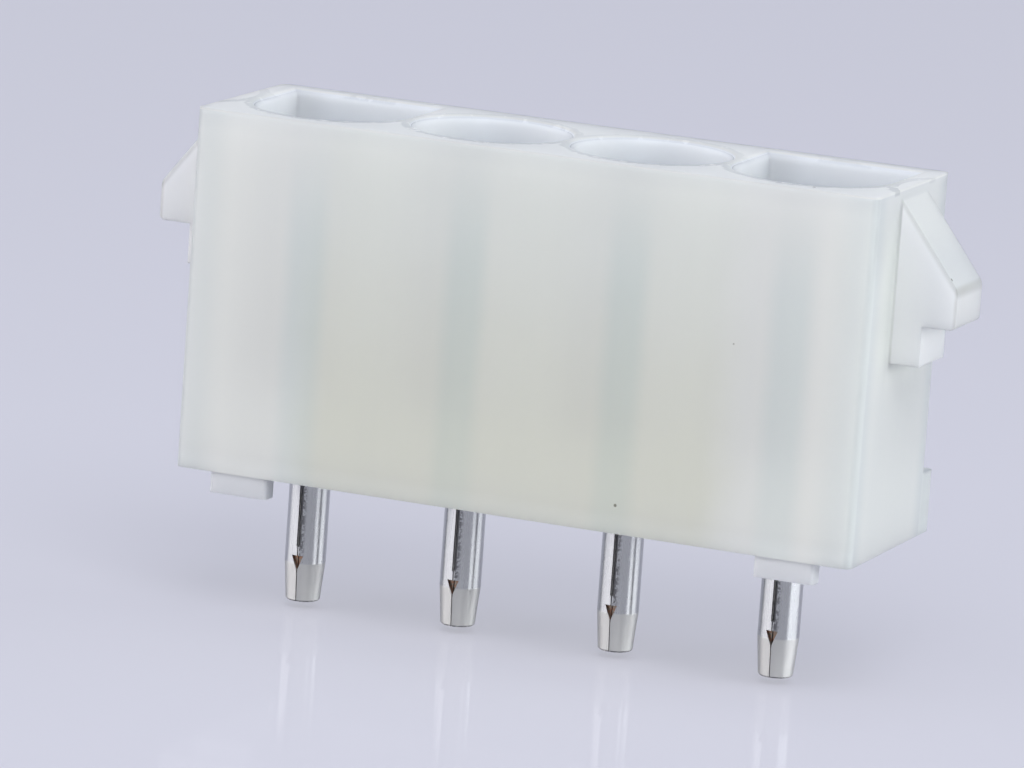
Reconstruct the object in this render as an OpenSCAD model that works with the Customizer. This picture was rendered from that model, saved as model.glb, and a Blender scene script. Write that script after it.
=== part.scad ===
// Socket header: a row of four rolled contacts in a moulded nylon housing.
// Millimetres. X runs along the row, -Y is the front, +Z is up.
// The origin is the middle of the row, on the face of the circuit board.

/* [Row] */
// Spacing of the contacts along the row
pitch = 6.35; // [6.3:0.05:8]

/* [Housing] */
// Distance from the axis of an end contact to the end wall's outer face
end_margin = 3.85; // [3.5:0.05:6]
// Depth of the housing from its front face to its back face
body_depth = 7.75; // [7.6:0.05:12]
// Height of the housing above its own underside
body_height = 13.55; // [12.5:0.05:18]
// Radius on the upright outer edges of the housing
edge_radius = 0.3; // [0.1:0.05:0.6]

/* [Cavities] */
// Diameter of a plug cavity
cavity_diameter = 5.8; // [5:0.05:5.9]
// Depth of a plug cavity below the top face
cavity_depth = 10.1; // [9:0.05:11.5]
// Distance from a keyed cavity's axis to its flat back wall
key_reach = 3.1; // [2.95:0.05:3.4]
// Chamfer round the mouth of a cavity
mouth_chamfer = 0.2; // [0.05:0.01:0.2]

/* [Latches] */
// Width of the latch ramp and of the stop pad under it
latch_width = 2.7; // [2:0.1:5]
// Distance from the top face down to the start of the ramp
latch_drop = 0.3; // [0.1:0.05:1]
// Height of the sloping part of the ramp
ramp_height = 3.1; // [2:0.05:4]
// Reach of the ramp's crest from the end wall
ramp_reach = 2.4; // [1.5:0.05:3.5]
// Height of the upright face between the crest and the ledge
crest_height = 1.45; // [0.8:0.05:2.5]
// Radius where the ramp turns into the upright face
crest_radius = 0.5; // [0.1:0.05:0.6]
// Radius where the upright face turns into the ledge
nose_radius = 0.2; // [0.05:0.05:0.35]
// Reach of the stop pad from the end wall
pad_reach = 1.15; // [0.5:0.05:1.4]
// Height of the stop pad under the ledge
pad_height = 1.5; // [0.6:0.05:2.5]

/* [Base] */
// Height of the flange along the back of the base
flange_height = 2.3; // [1:0.05:4]
// Reach of the flange behind the back face
flange_reach = 0.95; // [0.5:0.05:3]
// Height of the standoff feet
foot_height = 0.8; // [0.4:0.05:1.5]
// Width of a foot along the row
foot_width = 2.3; // [1:0.1:4]
// Thickness of a foot from front to back
foot_thickness = 0.8; // [0.4:0.05:1.2]
// Radius on the upright edges of a foot
foot_edge_radius = 0.15; // [0.05:0.01:0.18]
// Distance of a foot from the face of the housing that it stands behind
foot_setback = 0.1; // [0.05:0.05:1]
// Distance of a foot from the end wall's outer face
foot_margin = 1.4; // [0.5:0.05:3]

/* [Contact strip] */
// Thickness of the strip that the contact is rolled from
strip_thickness = 0.3; // [0.2:0.02:0.4]
// Width of the open seam along the rolled tube
seam_width = 0.12; // [0.05:0.01:0.3]
// Width of the closed seam in the tapered tip
tip_seam_width = 0.04; // [0.02:0.01:0.1]

/* [Contact barrel] */
// Bore of the socket barrel, for a pin of 2.13
socket_bore = 2.14; // [1.8:0.02:2.6]
// Distance from the housing's top face down to the mouth of the barrel
socket_recess = 4.4; // [3:0.1:5]
// Height of the flared mouth
flare_height = 0.5; // [0.3:0.05:0.8]
// How far the mouth flares outwards
flare_reach = 0.22; // [0.1:0.02:0.4]
// Height of the cone that widens from the seat to the barrel
shoulder_height = 0.5; // [0.3:0.05:0.8]
// Diameter of the seat that rests on the cavity floor
seat_diameter = 2.6; // [2.4:0.02:2.7]
// Width of the two spring slits
slit_width = 0.3; // [0.1:0.02:0.6]
// Length of the spring slits from the mouth
slit_length = 3.6; // [2:0.1:3.9]

/* [Contact shank and tail] */
// Diameter of the shank in the cavity floor
shank_diameter = 2; // [1.95:0.01:2.1]
// Clearance round the shank in its hole
shank_clearance = 0.03; // [0.01:0.01:0.08]
// Distance from the housing's underside down to the end of the shank
shank_reach = 0.1; // [0.05:0.05:0.3]
// Distance from the seat down to the middle of the retaining bead
bead_drop = 1.2; // [0.6:0.05:1.3]
// Height of the retaining bead
bead_height = 0.6; // [0.2:0.05:0.8]
// How far the retaining bead stands out of the shank
bead_reach = 0.1; // [0.02:0.02:0.2]
// Diameter of the solder tail
tail_diameter = 1.55; // [1.35:0.01:1.64]
// Length of the tail below the face of the board
tail_length = 4.4; // [3:0.1:8]
// Length of the tapered tip
taper_length = 1.5; // [0.8:0.1:2.2]
// Diameter at the end of the tip
tip_diameter = 1.3; // [0.9:0.01:1.5]
// Chamfer round the end of the tip
tip_chamfer = 0.06; // [0.02:0.01:0.12]
// Width of the notch where the taper begins
notch_width = 0.46; // [0.2:0.02:0.7]
// Height of the notch
notch_height = 0.6; // [0.3:0.05:0.9]
// Depth of the notch into the strip
notch_depth = 0.15; // [0.08:0.01:0.18]
// How much of the notch lies above the start of the taper
notch_rise = 0.3; // [0:0.05:0.4]
// Height of the closed lips between the open seam and the notch
lip_height = 0.35; // [0.1:0.05:0.6]

/* [Hidden] */

$fn = 64;

// Number of contacts in the row
ways = 4;
// How far a cutting shape runs past the face that it cuts
overrun = 0.5;
// How far an added shape is rooted in the wall that carries it
root = 0.2;

nylon_colour = [0.90, 0.91, 0.87];
tin_colour = [0.72, 0.73, 0.75];

body_length = (ways - 1) * pitch + 2 * end_margin;
base_z = foot_height;
top_z = base_z + body_height;
floor_z = top_z - cavity_depth;
cavity_radius = cavity_diameter / 2;

shank_radius = shank_diameter / 2;
shank_end_z = base_z - shank_reach;
bead_z = floor_z - bead_drop;
seat_radius = seat_diameter / 2;
socket_radius = socket_bore / 2;
barrel_radius = socket_radius + strip_thickness;
barrel_z = floor_z + shoulder_height;
mouth_z = top_z - socket_recess;
flare_z = mouth_z - flare_height;

tail_radius = tail_diameter / 2;
neck_z = shank_end_z + shank_radius - tail_radius;
tip_radius = tip_diameter / 2;
tip_z = -tail_length;
taper_z = tip_z + taper_length;
notch_top_z = taper_z + notch_rise;
lip_z = notch_top_z + lip_height;

// Place of a contact along the row, counted from the -X end
function way_x(index) = (index - (ways - 1) / 2) * pitch;

// The two end cavities have a flat back
function is_keyed(index) = index == 0 || index == ways - 1;

// Rectangle with round corners, centred
module rounded_rectangle(width, depth, radius) {
    square([width - 2 * radius, depth], center = true);
    square([width, depth - 2 * radius], center = true);
    for (x = [-1, 1], y = [-1, 1])
        translate([x * (width / 2 - radius), y * (depth / 2 - radius)])
            circle(r = radius);
}

// Outline of one cavity seen from above
module cavity_outline(keyed) {
    circle(r = cavity_radius);
    if (keyed)
        translate([-cavity_radius, 0])
            square([cavity_diameter, key_reach]);
}

// Chamfer round the mouth, drawn past the top face
module mouth_cut(keyed) {
    rise = mouth_chamfer + overrun;
    cylinder(h = rise, r1 = cavity_radius, r2 = cavity_radius + rise);
    if (keyed)
        intersection() {
            translate([0, key_reach + rise, 0])
                rotate([90, 0, 0])
                    linear_extrude(key_reach + rise)
                        polygon([[-cavity_radius, 0], [cavity_radius, 0],
                                 [cavity_radius + rise, rise], [-cavity_radius - rise, rise]]);
            translate([-cavity_radius - rise, 0, 0])
                rotate([90, 0, 90])
                    linear_extrude(cavity_diameter + 2 * rise)
                        polygon([[0, 0], [key_reach, 0], [key_reach + rise, rise], [0, rise]]);
        }
}

// One plug cavity with its chamfered mouth
module cavity_cut(keyed) {
    translate([0, 0, floor_z])
        linear_extrude(cavity_depth + overrun)
            cavity_outline(keyed);
    translate([0, 0, top_z - mouth_chamfer])
        mouth_cut(keyed);
}

// Outline of a shank as radius and height, grown by a clearance
function shank_profile(low_z, high_z, clearance) = [
    [0, low_z],
    [shank_radius + clearance, low_z],
    [shank_radius + clearance, bead_z - bead_height / 2],
    [shank_radius + clearance + bead_reach, bead_z],
    [shank_radius + clearance, bead_z + bead_height / 2],
    [shank_radius + clearance, high_z],
    [0, high_z]
];

// Hole for one shank through the cavity floor
module shank_hole() {
    rotate_extrude()
        polygon(shank_profile(base_z - overrun, floor_z + overrun, shank_clearance));
}

// Latch ramp with its ledge and stop pad, standing on the plane x = 0
module latch() {
    start_z = top_z - latch_drop;
    crest_z = start_z - ramp_height;
    ledge_z = crest_z - crest_height;
    pad_z = ledge_z - pad_height;
    slope = atan2(ramp_reach, ramp_height);
    tangent = crest_radius * tan(slope / 2);
    translate([0, latch_width / 2, 0])
        rotate([90, 0, 0])
            linear_extrude(latch_width) {
                polygon([[-root, start_z], [0, start_z],
                         [ramp_reach - tangent * sin(slope), crest_z + tangent * cos(slope)],
                         [ramp_reach, crest_z - tangent],
                         [ramp_reach, ledge_z + nose_radius],
                         [ramp_reach - nose_radius, ledge_z],
                         [pad_reach, ledge_z], [pad_reach, pad_z], [-root, pad_z]]);
                translate([ramp_reach - crest_radius, crest_z - tangent])
                    circle(r = crest_radius);
                translate([ramp_reach - nose_radius, ledge_z + nose_radius])
                    circle(r = nose_radius);
            }
}

// Standoff foot at one of the four corners
module foot(side_x, side_y) {
    x = side_x * (body_length / 2 - foot_margin - foot_width / 2);
    y = side_y * (body_depth / 2 - foot_setback - foot_thickness / 2);
    translate([x, y, 0])
        linear_extrude(foot_height + root)
            rounded_rectangle(foot_width, foot_thickness, foot_edge_radius);
}

// Flange along the back of the base
module back_flange() {
    depth = flange_reach + 2 * edge_radius + root;
    translate([0, body_depth / 2 + flange_reach - depth / 2, base_z])
        linear_extrude(flange_height)
            rounded_rectangle(body_length, depth, edge_radius);
}

module housing() {
    color(nylon_colour)
        difference() {
            union() {
                translate([0, 0, base_z])
                    linear_extrude(body_height)
                        rounded_rectangle(body_length, body_depth, edge_radius);
                back_flange();
                for (side = [0, 1])
                    mirror([side, 0, 0])
                        translate([body_length / 2, 0, 0])
                            latch();
                for (x = [-1, 1], y = [-1, 1])
                    foot(x, y);
            }
            for (index = [0 : ways - 1])
                translate([way_x(index), 0, 0]) {
                    cavity_cut(is_keyed(index));
                    shank_hole();
                }
        }
}

// Wall of the rolled tube as radius and height: up the outside, down the inside
function contact_profile() = [
    [tip_radius - tip_chamfer, tip_z],
    [tip_radius, tip_z + tip_chamfer],
    [tail_radius, taper_z],
    [tail_radius, shank_end_z],
    [shank_radius, neck_z],
    [shank_radius, bead_z - bead_height / 2],
    [shank_radius + bead_reach, bead_z],
    [shank_radius, bead_z + bead_height / 2],
    [shank_radius, floor_z],
    [seat_radius, floor_z],
    [barrel_radius, barrel_z],
    [barrel_radius, flare_z],
    [barrel_radius + flare_reach, mouth_z],
    [socket_radius + flare_reach, mouth_z],
    [socket_radius, flare_z],
    [socket_radius, barrel_z],
    [shank_radius - strip_thickness, floor_z],
    [shank_radius - strip_thickness, neck_z],
    [tail_radius - strip_thickness, shank_end_z],
    [tail_radius - strip_thickness, taper_z],
    [tip_radius - strip_thickness, tip_z]
];

// Cut through the front wall of the tube between two heights
module front_slot(width, low_z, high_z) {
    reach = barrel_radius + flare_reach + overrun;
    translate([-width / 2, -reach, low_z])
        cube([width, reach, high_z - low_z]);
}

// Notch cut into the front of the strip, narrowing downwards into the tip's seam
module front_notch() {
    translate([0, notch_depth - tail_radius, 0])
        rotate([90, 0, 0])
            linear_extrude(notch_depth + overrun)
                polygon([[-notch_width / 2, notch_top_z], [notch_width / 2, notch_top_z],
                         [0, notch_top_z - notch_height]]);
}

// Two slits that let the barrel spring open
module spring_slits() {
    reach = barrel_radius + flare_reach + overrun;
    translate([-reach, -slit_width / 2, mouth_z - slit_length])
        cube([2 * reach, slit_width, slit_length + overrun]);
}

// One rolled contact on the axis x = 0
module rolled_contact() {
    difference() {
        rotate_extrude()
            polygon(contact_profile());
        front_slot(seam_width, lip_z, mouth_z + overrun);
        front_slot(tip_seam_width, tip_z - overrun, lip_z);
        front_notch();
        spring_slits();
    }
}

module contact(index) {
    color(tin_colour)
        translate([way_x(index), 0, 0])
            rolled_contact();
}

module contact_1() { contact(0); }
module contact_2() { contact(1); }
module contact_3() { contact(2); }
module contact_4() { contact(3); }

housing();
contact_1();
contact_2();
contact_3();
contact_4();
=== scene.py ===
"""Looks of a socket header: a milky nylon housing on four rolled, tin-plated contacts."""

import bpy
import numpy as np
from bpy.props import FloatProperty, FloatVectorProperty, PointerProperty
from mathutils import Matrix, Vector


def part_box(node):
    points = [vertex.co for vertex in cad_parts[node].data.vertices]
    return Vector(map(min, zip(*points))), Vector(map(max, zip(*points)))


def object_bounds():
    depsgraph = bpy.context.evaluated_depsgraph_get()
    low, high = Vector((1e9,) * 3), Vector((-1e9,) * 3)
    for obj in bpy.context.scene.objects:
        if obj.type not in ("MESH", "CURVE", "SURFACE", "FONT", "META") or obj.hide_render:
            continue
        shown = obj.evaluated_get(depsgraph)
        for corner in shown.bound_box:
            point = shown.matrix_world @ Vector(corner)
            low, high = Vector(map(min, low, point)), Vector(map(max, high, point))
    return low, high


bl_info = {
    "name": "Socket header looks",
    "version": (1, 0, 0),
    "blender": (4, 5, 0),
    "location": "View3D > Sidebar > Socket header",
    "description": "Finishes and stage for a four-way socket header",
    "category": "Object",
}

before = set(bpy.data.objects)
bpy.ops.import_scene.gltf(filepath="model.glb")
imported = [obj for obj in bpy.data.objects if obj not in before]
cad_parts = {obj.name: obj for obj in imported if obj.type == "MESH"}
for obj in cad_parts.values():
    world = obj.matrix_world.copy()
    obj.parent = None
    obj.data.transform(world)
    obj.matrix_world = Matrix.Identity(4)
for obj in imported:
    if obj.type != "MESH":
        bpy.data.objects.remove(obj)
cad_box = [list(corner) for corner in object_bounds()]

IMAGE_WIDTH = 1024
MILLIMETRE = 0.001
BLACK = (0.0, 0.0, 0.0, 1.0)

# Places on the housing and the contacts, in millimetres of the part's frame
CONTACTS = sorted(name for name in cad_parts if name.startswith("contact"))
HOUSING_LOW, HOUSING_HIGH = (np.array(corner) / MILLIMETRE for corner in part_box("housing"))
CONTACT_LOW, CONTACT_HIGH = (np.array(corner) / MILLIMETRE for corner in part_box(CONTACTS[0]))
PITCH = (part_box(CONTACTS[1])[0].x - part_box(CONTACTS[0])[0].x) / MILLIMETRE
TOP = HOUSING_HIGH[2]
HALF_DEPTH = -HOUSING_LOW[1]
LATCH_HALF_WIDTH = 1.35
RAMP_REACH = 2.4
RAMP_HEIGHT = 3.1
RAMP_TOP = TOP - 0.3
LEDGE = RAMP_TOP - RAMP_HEIGHT - 1.45
HALF_LENGTH = HOUSING_HIGH[0] - RAMP_REACH
UNDERSIDE = 0.8
KEY_REACH = 3.1
MOUTH_RADIUS = 3.1
BARREL_TOP = CONTACT_HIGH[2]
TIP = CONTACT_LOW[2]
TAPER_TOP = TIP + 1.5
TAIL_RADIUS = 0.775
TIP_RADIUS = 0.65
TAPER_RATE = (TAIL_RADIUS - TIP_RADIUS) / (TAPER_TOP - TIP)
NOTCH_TOP = TAPER_TOP + 0.3
NOTCH_LOW = NOTCH_TOP - 0.6
LIP_TOP = NOTCH_TOP + 0.35

# Where the nylon's tones change, in millimetres: from the first place to the second
CREAM_TO_MILK = (3.0, 13.0)
MIDDLE_TO_MARGIN = (HALF_LENGTH - 6.2, HALF_LENGTH - 4.0)
MARGIN_TO_CORNER = (HALF_LENGTH - 1.8, HALF_LENGTH - 0.5)
CORE_TO_WALL = (HALF_DEPTH - 0.4, HALF_DEPTH - 0.1)
CORE_TO_CORNER = (HALF_DEPTH - 1.4, HALF_DEPTH - 0.2)
SIDE_TO_EDGE = (0.3, 0.1)
WALL_TO_BRIM = (TOP - 0.9, TOP - 0.1)
WALL_TO_HEM = (UNDERSIDE + 0.9, UNDERSIDE + 0.2)
BODY_TO_TOP = (TOP - 0.1, TOP - 0.02)
BODY_TO_LATCH = (HALF_LENGTH + 0.03, HALF_LENGTH + 0.1)
BODY_TO_END = (HALF_LENGTH - 0.1, HALF_LENGTH - 0.02)
LATCH_TO_NOSE = (HALF_LENGTH + 0.6, HALF_LENGTH + 1.8)
NOSE_TO_TIP = (HALF_LENGTH + RAMP_REACH - 0.15, HALF_LENGTH + RAMP_REACH - 0.03)
UNDER_LATCH = (LEDGE - 3.0, LEDGE - 0.6)
BESIDE_LATCH = (HALF_DEPTH - 0.7, HALF_DEPTH - 1.9)
OVER_LATCH = (RAMP_TOP - 0.4, RAMP_TOP - 2.0)
WALL_TO_SEAT = (LATCH_HALF_WIDTH + 0.45, LATCH_HALF_WIDTH)
END_TO_CROWN = (TOP - 4.0, TOP - 1.5)
BODY_TO_FOOT = (UNDERSIDE + 0.02, UNDERSIDE - 0.05)
BACK_TO_CAVITY = (KEY_REACH + 0.5, KEY_REACH + 0.3)
END_TO_CAVITY = (HALF_LENGTH - 0.4, HALF_LENGTH - 0.6)
BASE_TO_CAVITY = (UNDERSIDE + 0.5, UNDERSIDE + 1.0)
HARD_TO_SOFT_EDGE = (UNDERSIDE + 0.7, UNDERSIDE + 2.0)
MIDDLE_TO_LEFT = (-1.2, -2.6)
STRIPE_SKIRT = (1.15, 0.3)
STRIPE_TOP = (TOP + 0.3, BARREL_TOP - 0.5)
STRIPE_FOOT = (UNDERSIDE, BARREL_TOP - 2.5)
OUTSIDE_TO_MOUTH_LINE = (MOUTH_RADIUS + 0.34, MOUTH_RADIUS + 0.2)
CAVITY_TO_MOUTH_LINE = (MOUTH_RADIUS - 0.15, MOUTH_RADIUS - 0.1)
DEPTH_TO_MOUTH_LINE = (TOP - 0.2, TOP - 0.1)
BACK_TO_FRONT = (1.0, -1.0)
CORE_TO_BACK_RIM = (HALF_DEPTH - 0.14, HALF_DEPTH - 0.05)
WALL_TO_BACK_RIM = (TOP - 0.12, TOP - 0.03)

# Where the tin's finish changes, in millimetres: from the first place to the second
DEPTH_TO_SKIN = (0.03, 0.015)
SKIN_TO_CUT = (0.03, 0.06)
SKIN_TO_BORE = (0.03, 0.1)
SIDE_TO_FRONT = (-0.1, -0.3)
TUBE_TO_TAPER = (TAPER_TOP + 0.03, TAPER_TOP - 0.05)
TAPER_TO_END = (TIP + 0.09, TIP + 0.03)
LIPS_TO_SEAM = (LIP_TOP - 0.1, LIP_TOP + 0.1)
TUBE_TO_SEAM = (0.075, 0.055)
SEAM_TO_GRAINS = (0.03, 0.06)
TUBE_TO_GRAINS = (0.3, 0.12)
NOTCH_TO_GRAINS = (NOTCH_TOP - 0.1, NOTCH_TOP + 0.1)
OVER_NOTCH = (NOTCH_TOP + 0.02, NOTCH_TOP - 0.02)
UNDER_NOTCH = (NOTCH_LOW - 0.1, NOTCH_LOW)

# Where parts of a noise or of another plain number begin and are whole
RAGGED_GAPS = (0.3, 0.42)
DULL_FLECKS = (0.46, 0.4)
PALE_FLECKS = (0.58, 0.66)
CELL_TO_SPECK = (0.035, 0.02)
FEW_SPECKS = (0.7, 0.72)
UNDER_TO_SLOPE = (-0.12, -0.02)
END_PITS = (0.3, 0.55)
GRAIN_PITS = (0.45, 0.53)
COPPER_TO_OLIVE = (0.4, 0.6)

# Noises: waves per millimetre, detail, and the stretch along the axes where it isn't even
NOISE_MEAN = 0.5
CLOUD = (0.35, 1.0)
FLOW = (0.9, 2.0, (1.0, 1.0, 0.06))
RAGGED = (2.2, 3.0)
FLECKS = (1.3, 4.0)
GRAIN = (6.0, 3.0)
STREAKS = (3.0, 3.0, (6.0, 6.0, 0.3))
PITS = (11.0, 4.0)
SPECK_CELLS = 0.45

# Tints of the nylon, as factors in red, green and blue; the corner, edge, brim, hem, behind-latch, seat,
# crown, left, slope and mouth line tints are painted light or shade
FLOW_TINT = (0.97, 0.975, 0.98)
CORNER_SHADE = (0.885, 0.91, 0.93)
EDGE_SHADE = (0.88, 0.89, 0.9)
BRIM_SHADE = (0.92, 0.925, 0.93)
HEM_LIGHT = (1.08, 1.09, 1.09)
BEHIND_LATCH_LIGHT = (1.11, 1.12, 1.09)
SEAT_LIGHT = (1.13, 1.13, 1.13)
CROWN_SHADE = (0.86, 0.86, 0.87)
LEFT_WALL_SHADE = (0.87, 0.86, 0.85)
SLOPE_SHADE = (0.71, 0.715, 0.7)
NOSE_TIP_TINT = (0.81, 0.8, 0.78)
MOUTH_LINE_SHADE = (0.77, 0.78, 0.79)
FLECK_TINT = (0.88, 0.88, 0.88)
SPECK_TINT = (0.35, 0.34, 0.3)
FLASH = (0.95, 0.95, 0.93)

# How far and how much the nylon's details run
CLOUD_LIFT = 1.5
STRIPE_WAVER = 0.2
STRIPE_LEAST = 0.6
MOUTH_LINE_WAVER = 0.5
MOUTH_LINE_LEAST = 0.5
LATCH_SHARPNESS = 0.7
BEVEL_SAMPLES = 4
NYLON_IOR = 1.53
NYLON_SPECULAR = 0.3
NYLON_ROUGHNESS = 0.34
GRAIN_ROUGHNESS = 0.12
CAVITY_SMOOTHNESS = 0.16
TOP_ROUGHNESS = 0.3
NYLON_RELIEF = 0.08
FLECK_RELIEF = 4.0
EVEN_SCATTER = (1.0, 1.0, 1.0)
BUMP_DEPTH = 0.00002

# How far and how much the tin's details run
SEAM_SHIFT = 0.03
SEAM_WAVER = 0.1
TIN_ROUGHNESS = 0.24
STREAK_ROUGHNESS = 0.08
FROST_ROUGHNESS = 0.3
SEAM_ROUGHNESS = 0.3
CUT_ROUGHNESS = 0.2
FROST_DULLNESS = 0.3
TIN_RELIEF = 0.25
STREAK_RELIEF = 0.4
FROST_RELIEF = 0.8
GRAIN_RELIEF = 2.0
DRAWN_SHARE = 0.8
DRAWN_TURN = 0.25

# The stage: lengths in metres, and the camera's sensor in millimetres
FLOOR_HALF_SIDE = 1.5
FLOOR_LINES = 3
FLOOR_ROUGHNESS = 0.0
FLOOR_IOR = 1.045
LAMP_TARGET = (0.0, 0.0, 0.006)
SENSOR_WIDTH = 36.0
CLIP_NEAR = 0.01
CLIP_FAR = 10.0
VIEW_RIGHT = Vector((0.92166, 0.38166, 0.06979))
VIEW_DOWN = Vector((0.13605, -0.14946, -0.97936))
VIEW_FORWARD = Vector((-0.36335, 0.91214, -0.18968))

# The tent, by direction
LEFT_TO_RIGHT = (-0.1, 0.1)
SIDE_TO_BACK = (-0.2, -0.5)
SIDE_TO_OPENING = (0.62, 0.7)
WALL_TO_CEILING = (0.3, 0.5)

# Rays that see the floor's glow, and sharp ones that see the tent's sides dimmer than their light
SEEING_RAYS = ("Camera", "Glossy", "Transmission")
SHARP_RAYS = ("Camera", "Singular")
AT_FIRST_HAND = (2.6, 2.4)
WALL_SEEN = (0.22, 0.22, 0.22)


class NylonSettings(bpy.types.PropertyGroup):
    """Colours and sizes of the nylon's finish."""

    milk: FloatVectorProperty(
        name="Milk", description="Colour of the walls at the top", subtype="COLOR",
        default=(0.806, 0.832, 0.766))
    cream: FloatVectorProperty(
        name="Cream", description="Colour of the walls near the base", subtype="COLOR",
        default=(0.768, 0.778, 0.673))
    # Painted light of the walls towards the ends
    pale: FloatVectorProperty(
        name="Pale", description="Colour of the walls towards the ends", subtype="COLOR",
        default=(0.86, 0.875, 0.815))
    # Painted shade: a darker colour for the end walls and the underside
    frost: FloatVectorProperty(
        name="Frost", description="Colour of the end walls and the underside", subtype="COLOR",
        default=(0.74, 0.76, 0.725))
    # Painted shade of the top face
    rim: FloatVectorProperty(
        name="Rim", description="Colour of the top face", subtype="COLOR", default=(0.785, 0.80, 0.745))
    # Painted light inside the cavities
    lit_cavity: FloatVectorProperty(
        name="Cavity", description="Colour inside the cavities", subtype="COLOR",
        default=(0.83, 0.87, 0.885))
    # Painted light of the latches at the wall
    latch: FloatVectorProperty(
        name="Latch", description="Colour of the latches at the wall", subtype="COLOR",
        default=(0.96, 0.975, 0.95))
    nose: FloatVectorProperty(
        name="Nose", description="Colour of the latches at their crest", subtype="COLOR",
        default=(0.88, 0.90, 0.90))
    # Painted light of the thin feet
    lit_foot: FloatVectorProperty(
        name="Foot", description="Colour of the feet", subtype="COLOR", default=(0.89, 0.915, 0.935))
    # Painted shade of a contact behind the wall, and how far beside the contact it is laid
    stripe: FloatVectorProperty(
        name="Stripe", description="Tint where a contact stands behind the wall", subtype="COLOR",
        default=(0.89, 0.94, 0.955))
    stripe_shift: FloatProperty(
        name="Stripe shift", description="How far a stripe lies beside its contact, in millimetres",
        default=0.9)
    scatter: FloatProperty(
        name="Scatter", description="How far light travels in the nylon", unit="LENGTH", default=0.005)
    share: FloatProperty(
        name="Share", description="Share of the light that travels in the nylon", subtype="FACTOR",
        default=0.5)
    edge: FloatProperty(
        name="Edge", description="Radius of the softened edges", unit="LENGTH", default=0.0003)


class TinSettings(bpy.types.PropertyGroup):
    """Colours of the contacts' plating."""

    plate: FloatVectorProperty(
        name="Plate", description="Colour of the bright tin", subtype="COLOR",
        default=(0.50, 0.51, 0.525))
    matte: FloatVectorProperty(
        name="Matte", description="Colour of the tapered tip", subtype="COLOR",
        default=(0.68, 0.68, 0.67))
    # Painted shade at the seam and at the tip's end, and the colour of the dark grains
    shade_and_grit: FloatVectorProperty(
        name="Soot", description="Colour of the rough edges of the seam", subtype="COLOR",
        default=(0.18, 0.18, 0.19))
    copper: FloatVectorProperty(
        name="Copper", description="Bare strip in the notch", subtype="COLOR", default=(0.36, 0.2, 0.14))
    olive: FloatVectorProperty(
        name="Olive", description="Tarnish on the bare strip", subtype="COLOR",
        default=(0.28, 0.25, 0.21))
    # Painted light: a pale, dull inside of the tube
    lining: FloatVectorProperty(
        name="Lining", description="Dull inside of the rolled tube", subtype="COLOR",
        default=(0.8, 0.8, 0.8))


class StageSettings(bpy.types.PropertyGroup):
    """Floor, light and camera."""

    floor: FloatVectorProperty(
        name="Floor", description="Colour of the glossy floor", subtype="COLOR",
        default=(0.30, 0.30, 0.34))
    glow: FloatVectorProperty(
        name="Floor glow", description="Paleness of the floor as it is seen", subtype="COLOR",
        default=(0.378, 0.38, 0.418))
    floor_gap: FloatProperty(
        name="Floor gap", description="Distance of the floor below the tails", unit="LENGTH",
        default=0.0003)
    ceiling: FloatVectorProperty(
        name="Ceiling", description="Light of the tent overhead", subtype="COLOR",
        default=(0.375, 0.407, 0.535))
    left: FloatVectorProperty(
        name="Left", description="Light of the tent's left wall", subtype="COLOR", soft_max=8.0,
        default=(3.95, 3.82, 3.75))
    right: FloatVectorProperty(
        name="Right", description="Light of the tent's right wall", subtype="COLOR", soft_max=8.0,
        default=(4.75, 4.86, 4.87))
    back: FloatVectorProperty(
        name="Back", description="Light of the tent's back wall", subtype="COLOR",
        default=(0.09, 0.10, 0.15))
    opening: FloatVectorProperty(
        name="Opening", description="Light from the tent's open side", subtype="COLOR",
        default=(0.25, 0.25, 0.2))
    lamp_place: FloatVectorProperty(
        name="Lamp", description="Place of the high front light", subtype="XYZ", unit="LENGTH",
        default=(0.13, -0.22, 0.3))
    lamp_size: FloatProperty(
        name="Lamp size", description="Side of the high front light", unit="LENGTH", default=0.22)
    lamp_power: FloatProperty(
        name="Lamp power", description="Power of the high front light", unit="POWER", default=0.68)
    eye: FloatVectorProperty(
        name="Eye", description="Place of the camera", subtype="XYZ", unit="LENGTH",
        default=(0.095515, -0.243977, 0.055682))
    focal_pixels: FloatProperty(
        name="Focal length", description="Focal length in pixels of the picture", default=7221.3)


class Value:
    """A number that runs over a surface: an output socket whose operators add Math nodes."""

    def __init__(self, finish, socket):
        self.finish = finish
        self.socket = socket

    def math(self, operation, *others):
        """Math node with this value first."""
        inputs = dict(enumerate((self, *others)))
        return self.finish.node("ShaderNodeMath", {"operation": operation}, inputs)

    def __add__(self, other):
        return self.math("ADD", other)

    __radd__ = __add__

    def __sub__(self, other):
        return self.math("SUBTRACT", other)

    def __rsub__(self, other):
        return self.math("MULTIPLY", -1.0).math("ADD", other)

    def __mul__(self, other):
        return self.math("MULTIPLY", other)

    __rmul__ = __mul__

    def __truediv__(self, other):
        return self.math("DIVIDE", other)

    def __pow__(self, other):
        return self.math("POWER", other)

    def __abs__(self):
        return self.math("ABSOLUTE")

    def greater(self, other):
        """The larger of two values."""
        return self.math("MAXIMUM", other)

    def hypotenuse(self, other):
        """Distance from an axis, worked out from this value and another at right angles to it."""
        return (self ** 2.0 + other ** 2.0).math("SQRT")

    def at_least(self, least):
        """Runs from least to 1 where this value runs from 0 to 1."""
        return least + (1.0 - least) * self

    def ramp(self, start, end):
        """Rises smoothly from 0 at start to 1 at end, also where end is the smaller one."""
        low, high = min(start, end), max(start, end)
        settings = {"interpolation_type": "SMOOTHSTEP"}
        inputs = {"Value": self, "From Min": low, "From Max": high, "To Min": 0.0, "To Max": 1.0}
        rise = self.finish.node("ShaderNodeMapRange", settings, inputs)
        return rise if start < end else 1.0 - rise


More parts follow.
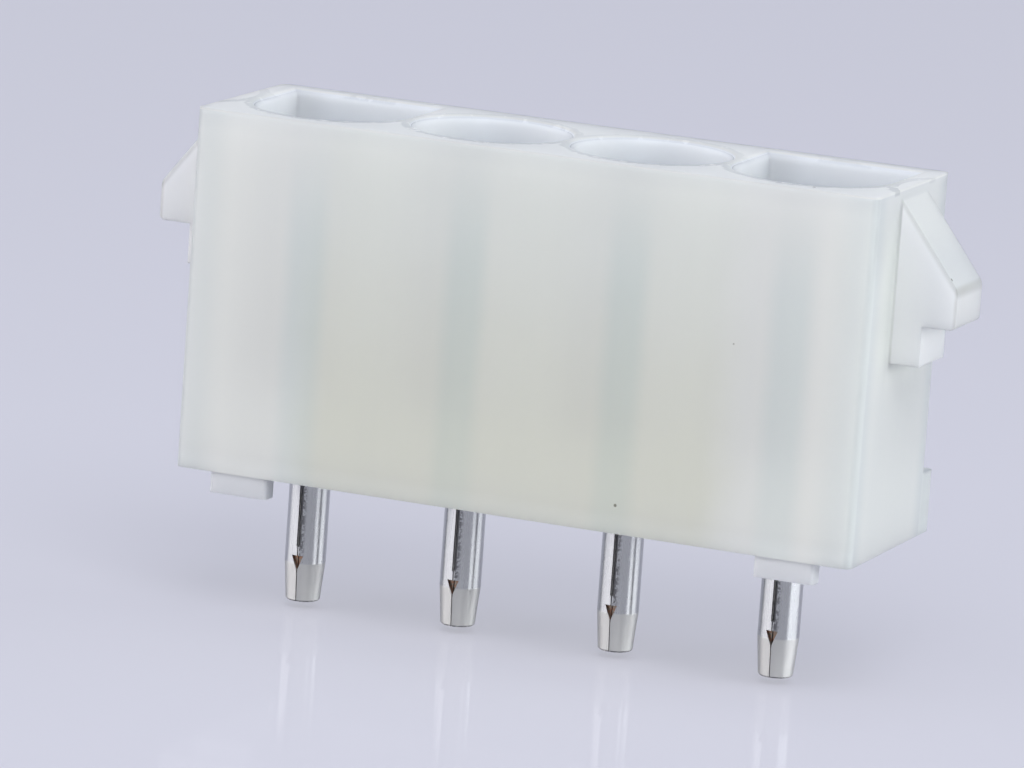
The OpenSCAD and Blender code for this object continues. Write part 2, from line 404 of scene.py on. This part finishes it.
class Finish:
    """The nodes of a material or of the surroundings, written as expressions."""

    def __init__(self, owner):
        owner.use_nodes = True
        self.owner = owner
        self.tree = owner.node_tree
        self.tree.nodes.clear()

    def node(self, kind, settings, inputs, output=0):
        """Adds a node, sets its settings, then its sockets, and gives one of its outputs if it has any."""
        made = self.tree.nodes.new(kind)
        for name, value in settings.items():
            setattr(made, name, value)
        for name, value in inputs.items():
            if isinstance(value, Value):
                self.tree.links.new(value.socket, made.inputs[name])
            else:
                made.inputs[name].default_value = value
        return Value(self, made.outputs[output]) if made.outputs else None

    def place(self):
        """The three object coordinates in millimetres, as values, and the vector itself."""
        point = self.node("ShaderNodeTexCoord", {}, {}, "Object")
        settings = {"operation": "SCALE"}
        scaled = self.node("ShaderNodeVectorMath", settings, {0: point, "Scale": 1 / MILLIMETRE})
        axes = [self.node("ShaderNodeSeparateXYZ", {}, {0: scaled}, axis) for axis in "XYZ"]
        return axes, scaled

    def noise(self, vector, scale, detail=2.0, stretch=(1.0, 1.0, 1.0)):
        """Noise from 0 to 1 with a scale in waves per millimetre, stretched along the axes."""
        spread = self.node("ShaderNodeVectorMath", {"operation": "MULTIPLY"}, {0: vector, 1: stretch})
        return self.node("ShaderNodeTexNoise", {}, {"Vector": spread, "Scale": scale, "Detail": detail})

    def mix(self, share, first, second, blend="MIX"):
        """Colour between two colours, or the first one blended with the second by a share."""
        settings = {"data_type": "RGBA", "blend_type": blend}
        return self.node("ShaderNodeMix", settings, {0: share, 6: first, 7: second}, 2)

    def tint(self, colour, share, factor):
        """Colour times a factor in red, green and blue, by a share."""
        return self.mix(share, colour, rgba(factor), "MULTIPLY")

    def seen(self, kinds):
        """1 for a ray of one of these kinds, and 0 for any other."""
        first, *others = [self.node("ShaderNodeLightPath", {}, {}, f"Is {kind} Ray") for kind in kinds]
        for other in others:
            first = first.greater(other)
        return first

    def bump(self, strength, inputs):
        """Normal that follows a relief."""
        return self.node("ShaderNodeBump", {}, {"Strength": strength, "Distance": BUMP_DEPTH, **inputs})

    def surface(self, inputs):
        """Ends the tree in a Principled shader with these inputs."""
        shader = self.node("ShaderNodeBsdfPrincipled", {}, inputs)
        self.node("ShaderNodeOutputMaterial", {}, {0: shader})
        return self.owner


def rgba(colour):
    """Three numbers of a colour as the four of a socket."""
    return (*colour, 1.0)


def from_axis(along, shift=0.0):
    """Distance along the row from the nearest contact's axis, or from a line beside it."""
    return (((along - shift) / PITCH).math("FRACT") - 0.5) * PITCH


def nylon(settings):
    """Milky nylon: cream near the base, paler upwards and at the ends in partly painted light, with
    painted shade where contacts show dimly behind its walls and painted light and shade at edges, latches
    and mouths.
    """
    finish = Finish(bpy.data.materials.new("nylon"))
    (x, y, z), point = finish.place()
    outward = abs(x)
    deep = abs(y)
    cloud = finish.noise(point, *CLOUD) - NOISE_MEAN
    wall = deep.ramp(*CORE_TO_WALL)
    end = outward.ramp(*BODY_TO_END)
    top = z.ramp(*BODY_TO_TOP)
    latch = outward.ramp(*BODY_TO_LATCH)

    # Broad tones of the long walls, and of everything else: cream near the base to milk at the top, the
    # lighter top partly painted light
    height = z + cloud * CLOUD_LIFT
    tone = finish.mix(height.ramp(*CREAM_TO_MILK), rgba(settings.cream), rgba(settings.milk))
    # Painted light towards the ends, where side light enters the nylon
    tone = finish.mix((outward + cloud).ramp(*MIDDLE_TO_MARGIN), tone, rgba(settings.pale))
    # Painted shade: the end walls and the underside take a darker colour
    tone = finish.mix(wall, rgba(settings.frost), tone)
    tone = finish.tint(tone, finish.noise(point, *FLOW), FLOW_TINT)

    # Painted shade of the contacts that show dimly through the long walls
    beside = abs(from_axis(x, settings.stripe_shift) + cloud * STRIPE_WAVER)
    shown = z.ramp(*STRIPE_TOP) * z.ramp(*STRIPE_FOOT).at_least(STRIPE_LEAST)
    tone = finish.tint(tone, beside.ramp(*STRIPE_SKIRT) * shown * wall, settings.stripe)

    # Painted shade darkens corners, upright edges, brims and the tops of the end walls; painted light
    # lifts the hem and the end wall round the latch
    corner = outward.ramp(*MARGIN_TO_CORNER) * deep.ramp(*CORE_TO_CORNER)
    tone = finish.tint(tone, corner, CORNER_SHADE)
    edge = (HALF_LENGTH - outward).ramp(*SIDE_TO_EDGE) * (HALF_DEPTH - deep).ramp(*SIDE_TO_EDGE)
    tone = finish.tint(tone, edge, EDGE_SHADE)
    tone = finish.tint(tone, z.ramp(*WALL_TO_BRIM) * wall, BRIM_SHADE)
    # Painted light along the bottom of the long walls, against the shade of the underside
    tone = finish.tint(tone, z.ramp(*WALL_TO_HEM) * wall, HEM_LIGHT)
    # Painted light on the end wall round the latch and where the latch meets it, against the latch's shade
    behind = end * z.ramp(*UNDER_LATCH) * z.ramp(*OVER_LATCH) * deep.ramp(*BESIDE_LATCH)
    tone = finish.tint(tone, behind, BEHIND_LATCH_LIGHT)
    tone = finish.tint(tone, behind * deep.ramp(*WALL_TO_SEAT), SEAT_LIGHT)
    tone = finish.tint(tone, end * z.ramp(*END_TO_CROWN), CROWN_SHADE)

    # Top face, cavities, latches and feet, in painted light and shade
    # Painted shade on the top face
    tone = finish.mix(top, tone, rgba(settings.rim))
    # Painted light inside the cavities, pale and bluish as if lit through their walls
    core = deep.ramp(*BACK_TO_CAVITY) * outward.ramp(*END_TO_CAVITY)
    inside = core * z.ramp(*BASE_TO_CAVITY) * (1.0 - top)
    tone = finish.mix(inside, tone, rgba(settings.lit_cavity))
    # Painted shade on the cavities' left inner walls
    tone = finish.tint(tone, inside * from_axis(x).ramp(*MIDDLE_TO_LEFT), LEFT_WALL_SHADE)
    # Painted light at the latch's root, where the body shades it, fading to the nose colour
    arm = finish.mix(outward.ramp(*LATCH_TO_NOSE), rgba(settings.latch), rgba(settings.nose))
    slope = (outward - HALF_LENGTH) / RAMP_REACH + (z - RAMP_TOP) / RAMP_HEIGHT
    # Painted shade on the ramp's upward slope
    arm = finish.tint(arm, slope.ramp(*UNDER_TO_SLOPE), SLOPE_SHADE)
    arm = finish.tint(arm, outward.ramp(*NOSE_TO_TIP), NOSE_TIP_TINT)
    tone = finish.mix(latch, tone, arm)
    # Painted light on the thin feet
    tone = finish.mix(z.ramp(*BODY_TO_FOOT), tone, rgba(settings.lit_foot))

    # Painted shade: a ragged grey line round each mouth, weaker at the back
    radius = from_axis(x).hypotenuse(y)
    ragged = finish.noise(point, *RAGGED)
    reach = radius + (ragged - NOISE_MEAN) * MOUTH_LINE_WAVER
    line = reach.ramp(*OUTSIDE_TO_MOUTH_LINE) * radius.ramp(*CAVITY_TO_MOUTH_LINE)
    line = line * z.ramp(*DEPTH_TO_MOUTH_LINE) * ragged.ramp(*RAGGED_GAPS)
    tone = finish.tint(tone, line * y.ramp(*BACK_TO_FRONT).at_least(MOUTH_LINE_LEAST), MOUTH_LINE_SHADE)

    # Flecks of flash along the back top edge
    rim = y.ramp(*CORE_TO_BACK_RIM) * z.ramp(*WALL_TO_BACK_RIM)
    flecks = finish.noise(point, *FLECKS)
    tone = finish.tint(tone, rim * flecks.ramp(*DULL_FLECKS), FLECK_TINT)
    tone = finish.mix(rim * flecks.ramp(*PALE_FLECKS), tone, rgba(FLASH))

    # Dark specks, a few to a wall
    cells = {"Vector": point, "Scale": SPECK_CELLS}
    near = finish.node("ShaderNodeTexVoronoi", {}, cells, "Distance")
    cell_colour = finish.node("ShaderNodeTexVoronoi", {}, cells, "Color")
    draw = finish.node("ShaderNodeSeparateColor", {}, {0: cell_colour})
    tone = finish.tint(tone, near.ramp(*CELL_TO_SPECK) * draw.ramp(*FEW_SPECKS), SPECK_TINT)

    # Softened edges and fine grain
    grain = finish.noise(point, *GRAIN)
    softness = settings.edge * z.ramp(*HARD_TO_SOFT_EDGE) * (1.0 - LATCH_SHARPNESS * latch)
    rounded = finish.node("ShaderNodeBevel", {"samples": BEVEL_SAMPLES}, {"Radius": softness})
    relief = grain + rim * flecks * FLECK_RELIEF
    roughness = NYLON_ROUGHNESS + GRAIN_ROUGHNESS * grain
    roughness = roughness - CAVITY_SMOOTHNESS * inside + TOP_ROUGHNESS * top
    return finish.surface({
        "Base Color": tone,
        "Roughness": roughness,
        "IOR": NYLON_IOR,
        "Specular IOR Level": NYLON_SPECULAR,
        "Subsurface Weight": settings.share,
        "Subsurface Radius": EVEN_SCATTER,
        "Subsurface Scale": settings.scatter,
        "Normal": finish.bump(NYLON_RELIEF, {"Height": relief, "Normal": rounded}),
    })


def tin(settings):
    """Bright tin plate: drawn streaks on the tube, a frosted tip, a rough seam, a bare copper notch, and
    painted shade at the seam and tip end with painted light inside the tube.
    """
    finish = Finish(bpy.data.materials.new("tin"))
    (x, y, z), point = finish.place()
    across = from_axis(x)
    below = TAIL_RADIUS - (TAPER_TOP - z).greater(0.0) * TAPER_RATE - across.hypotenuse(y)
    front = y.ramp(*SIDE_TO_FRONT)
    streaks = finish.noise(point, *STREAKS)
    pits = finish.noise(point, *PITS)

    # The tapered tip is frosted, with painted shade darkening its end
    frost = z.ramp(*TUBE_TO_TAPER)
    colour = finish.mix(frost, rgba(settings.plate), rgba(settings.matte))
    colour = finish.mix(z.ramp(*TAPER_TO_END) * pits.ramp(*END_PITS), colour, rgba(settings.shade_and_grit))

    # Rough edges along the open seam darkened with painted shade of the gap, and dark grains beside it
    from_seam = abs(across - SEAM_SHIFT) + (pits - NOISE_MEAN) * SEAM_WAVER
    open_part = front * z.ramp(*LIPS_TO_SEAM) * below.ramp(*DEPTH_TO_SKIN)
    seam = from_seam.ramp(*TUBE_TO_SEAM) * open_part
    colour = finish.mix(seam, colour, rgba(settings.shade_and_grit))
    grainy_part = front * z.ramp(*NOTCH_TO_GRAINS)
    grains = across.ramp(*SEAM_TO_GRAINS) * across.ramp(*TUBE_TO_GRAINS) * grainy_part
    colour = finish.mix(grains * pits.ramp(*GRAIN_PITS), colour, rgba(settings.shade_and_grit))

    # Dull inside of the rolled tube, painted pale as painted light in the hollow, and bare copper on what
    # the notch cuts
    cut = below.ramp(*SKIN_TO_CUT) * z.ramp(*OVER_NOTCH) * z.ramp(*UNDER_NOTCH)
    bore = below.ramp(*SKIN_TO_BORE) * (1.0 - cut)
    colour = finish.mix(bore, colour, rgba(settings.lining))
    bare = finish.mix(pits.ramp(*COPPER_TO_OLIVE), rgba(settings.copper), rgba(settings.olive))
    colour = finish.mix(cut * front, colour, bare)

    relief = streaks * STREAK_RELIEF + pits * (frost * FROST_RELIEF + grains * GRAIN_RELIEF)
    roughness = TIN_ROUGHNESS + STREAK_ROUGHNESS * streaks + frost * FROST_ROUGHNESS
    roughness = roughness + seam * SEAM_ROUGHNESS + cut * CUT_ROUGHNESS
    return finish.surface({
        "Base Color": colour,
        "Metallic": 1.0 - bore.greater(frost * FROST_DULLNESS),
        "Roughness": roughness,
        "Anisotropic": DRAWN_SHARE,
        "Anisotropic Rotation": DRAWN_TURN,
        "Normal": finish.bump(TIN_RELIEF, {"Height": relief}),
    })


def dress(names, material):
    """Gives CAD nodes a material."""
    for name in names:
        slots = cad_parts[name].data.materials
        slots.clear()
        slots.append(material)


def add_object(name, data):
    """Links a new object at the origin."""
    made = bpy.data.objects.new(name, data)
    bpy.context.scene.collection.objects.link(made)
    return made


def softbox(name, place, target, size, power):
    """Square soft light at a place, turned to a target."""
    lamp = bpy.data.lights.new(name, "AREA")
    lamp.size = size
    lamp.energy = power
    made = add_object(name, lamp)
    made.location = place
    made.rotation_mode = "QUATERNION"
    made.rotation_quaternion = (Vector(target) - Vector(place)).to_track_quat("-Z", "Y")


def floor_sheet(half_side, height):
    """Flat square grid at one height: x and y run evenly from -half_side to half_side."""
    steps = np.linspace(-half_side, half_side, FLOOR_LINES)
    x, y = np.meshgrid(steps, steps)
    points = np.stack([x, y, np.full_like(x, height)], -1).reshape(-1, 3)
    cells = np.arange(FLOOR_LINES - 1)
    corner = (cells[:, None] * FLOOR_LINES + cells).ravel()
    faces = corner[:, None] + np.array([0, 1, FLOOR_LINES + 1, FLOOR_LINES])
    mesh = bpy.data.meshes.new("floor")
    mesh.from_pydata(points.tolist(), [], faces.tolist())
    return add_object("floor", mesh)


class HEADER_OT_housing(bpy.types.Operator):
    """Finish the moulded housing in milky nylon"""

    bl_idname = "header.housing"
    bl_label = "Housing"

    def execute(self, context):
        dress(["housing"], nylon(context.scene.header_nylon))
        return {"FINISHED"}


class HEADER_OT_contacts(bpy.types.Operator):
    """Finish the four rolled contacts in bright tin"""

    bl_idname = "header.contacts"
    bl_label = "Contacts"

    def execute(self, context):
        dress(CONTACTS, tin(context.scene.header_tin))
        return {"FINISHED"}


class HEADER_OT_stage(bpy.types.Operator):
    """Set the floor, the soft light and the camera"""

    bl_idname = "header.stage"
    bl_label = "Stage"

    def execute(self, context):
        settings = context.scene.header_stage
        self.lay_floor(settings)
        self.light(context.scene, settings)
        self.aim(context.scene, settings)
        context.scene.view_settings.view_transform = "Standard"
        return {"FINISHED"}

    def lay_floor(self, settings):
        """Glossy pale sheet just under the tails, with a glow that only camera, mirrors and glass see."""
        floor = floor_sheet(FLOOR_HALF_SIDE, cad_box[0][2] - settings.floor_gap)
        finish = Finish(bpy.data.materials.new("floor"))
        floor.data.materials.append(finish.surface({
            "Base Color": rgba(settings.floor),
            "Roughness": FLOOR_ROUGHNESS,
            "IOR": FLOOR_IOR,
            "Emission Color": finish.mix(finish.seen(SEEING_RAYS), BLACK, rgba(settings.glow)),
            "Emission Strength": 1.0,
        }))

    def light(self, scene, settings):
        """Tent with bright low side walls, a dark opening on the camera's side and a high front light."""
        tent = Finish(bpy.data.worlds.new("tent"))
        direction = tent.node("ShaderNodeTexCoord", {}, {}, "Generated")
        opening = Vector((settings.eye[0], settings.eye[1], 0.0)).normalized()
        aside = opening.cross(Vector((0.0, 0.0, -1.0)))
        dot = {"operation": "DOT_PRODUCT"}
        towards = tent.node("ShaderNodeVectorMath", dot, {0: direction, 1: opening}, "Value")
        sideways = tent.node("ShaderNodeVectorMath", dot, {0: direction, 1: aside}, "Value")
        height = tent.node("ShaderNodeSeparateXYZ", {}, {0: direction}, "Z")
        sides = tent.mix(sideways.ramp(*LEFT_TO_RIGHT), rgba(settings.left), rgba(settings.right))
        # Here the camera's own rays have depth 1, and those that the floor mirrors have depth 2
        bounces = tent.node("ShaderNodeLightPath", {}, {}, "Ray Depth")
        sides = tent.tint(sides, tent.seen(SHARP_RAYS) * bounces.ramp(*AT_FIRST_HAND), WALL_SEEN)
        walls = tent.mix(towards.ramp(*SIDE_TO_BACK), sides, rgba(settings.back))
        walls = tent.mix(towards.ramp(*SIDE_TO_OPENING), walls, rgba(settings.opening))
        colour = tent.mix(height.ramp(*WALL_TO_CEILING), walls, rgba(settings.ceiling))
        glow = tent.node("ShaderNodeBackground", {}, {"Color": colour, "Strength": 1.0})
        tent.node("ShaderNodeOutputWorld", {}, {0: glow})
        scene.world = tent.owner
        softbox("front", settings.lamp_place, LAMP_TARGET, settings.lamp_size, settings.lamp_power)

    def aim(self, scene, settings):
        """Camera with the picture's own viewing angle and roll."""
        lens = bpy.data.cameras.new("camera")
        lens.sensor_width = SENSOR_WIDTH
        lens.lens = SENSOR_WIDTH * settings.focal_pixels / IMAGE_WIDTH
        lens.clip_start = CLIP_NEAR
        lens.clip_end = CLIP_FAR
        camera = add_object("camera", lens)
        turn = Matrix((VIEW_RIGHT, -VIEW_DOWN, -VIEW_FORWARD)).transposed()
        camera.matrix_world = Matrix.Translation(settings.eye) @ turn.to_4x4()
        scene.camera = camera


class HEADER_PT_panel(bpy.types.Panel):
    """Lists the steps and their settings"""

    bl_idname = "HEADER_PT_panel"
    bl_label = "Socket header"
    bl_space_type = "VIEW_3D"
    bl_region_type = "UI"
    bl_category = "Socket header"

    def draw(self, context):
        for operator in OPERATORS:
            self.layout.operator(operator.bl_idname)
        for group in GROUPS:
            settings = getattr(context.scene, group)
            for name in settings.__annotations__:
                self.layout.prop(settings, name)


OPERATORS = (HEADER_OT_housing, HEADER_OT_contacts, HEADER_OT_stage)
GROUPS = {"header_nylon": NylonSettings, "header_tin": TinSettings, "header_stage": StageSettings}


def register():
    """Adds the classes, and the settings to the scene."""
    for made in (*GROUPS.values(), *OPERATORS, HEADER_PT_panel):
        bpy.utils.register_class(made)
    for name, group in GROUPS.items():
        setattr(bpy.types.Scene, name, PointerProperty(type=group))


def unregister():
    """Takes the settings and the classes away again."""
    for name in GROUPS:
        delattr(bpy.types.Scene, name)
    for made in (HEADER_PT_panel, *reversed(OPERATORS), *reversed(GROUPS.values())):
        bpy.utils.unregister_class(made)


def main():
    """Dresses the part and sets the stage."""
    register()
    bpy.ops.header.housing()
    bpy.ops.header.contacts()
    bpy.ops.header.stage()


if __name__ == "__main__":
    main()
